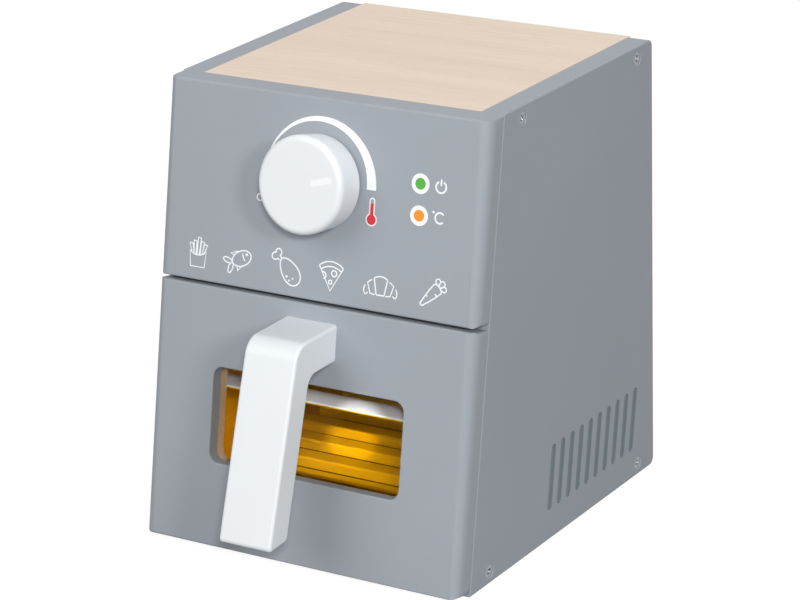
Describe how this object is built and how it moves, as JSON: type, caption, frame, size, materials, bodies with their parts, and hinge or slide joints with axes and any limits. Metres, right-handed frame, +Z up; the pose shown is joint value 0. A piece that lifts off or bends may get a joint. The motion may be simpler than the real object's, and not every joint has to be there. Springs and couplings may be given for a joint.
{
  "type": "toy air fryer",
  "caption": "Wooden play air fryer: raked box with a turning knob and a pull-out drawer that has an amber window, a bent handle and a slatted rack.",
  "frame": {"origin": "on the floor, in the middle of the housing's footprint", "axes": "+Z up, -Y towards the raked front, +X to the right of someone who looks at the front"},
  "size_m": [0.175, 0.2363, 0.22],
  "materials": {
    "grey_paint": "satin grey paint on wood",
    "natural_top": "clear matt lacquer on light wood",
    "bare_wood": "bare light wood",
    "dowel_wood": "bare beech",
    "white_paint": "satin white paint on wood",
    "pointer_white": "bright white",
    "amber_sheet": "clear amber sheet",
    "zinc_steel": "bright zinc",
    "grey_felt": "thin dark felt"
  },
  "bodies": {
    "housing": {"side_panel_left": "grey_paint", "side_panel_right": "grey_paint", "top_board": "natural_top", "bottom_board": "bare_wood", "rear_panel": "grey_paint", "upper_front_panel": "grey_paint", "divider_shelf": "bare_wood", "front_panel_tongues": "dowel_wood", "side_screws_left": "zinc_steel", "side_screws_right": "zinc_steel"},
    "drawer": {"drawer_front": "grey_paint", "drawer_side_left": "bare_wood", "drawer_side_right": "bare_wood", "drawer_back": "bare_wood", "drawer_bottom": "bare_wood", "window_pane": "amber_sheet", "pane_rail": "white_paint", "rack_rail_left": "bare_wood", "rack_rail_right": "bare_wood", "rack_slat_1": "bare_wood", "rack_slat_2": "bare_wood", "rack_slat_3": "bare_wood", "rack_slat_4": "bare_wood", "rack_slat_5": "bare_wood", "rack_slat_6": "bare_wood", "rack_slat_7": "bare_wood", "handle": "white_paint", "handle_screws": "zinc_steel"},
    "knob": {"knob": "white_paint", "knob_pointer": "pointer_white", "knob_felt_washer": "grey_felt", "knob_shaft": "dowel_wood", "knob_retaining_washer": "zinc_steel", "knob_retaining_screw": "zinc_steel"}
  },
  "joints": [
    {"name": "drawer_slide", "type": "slide", "parent": "housing", "child": "drawer", "axis": [0, -1, 0], "range_m": [0, 0.12]},
    {"name": "knob_turn", "type": "hinge", "parent": "housing", "child": "knob", "pos_m": [0, -0.07063, 0.18187], "axis": [0, -0.9839, 0.1789], "continuous": true}
  ]
}
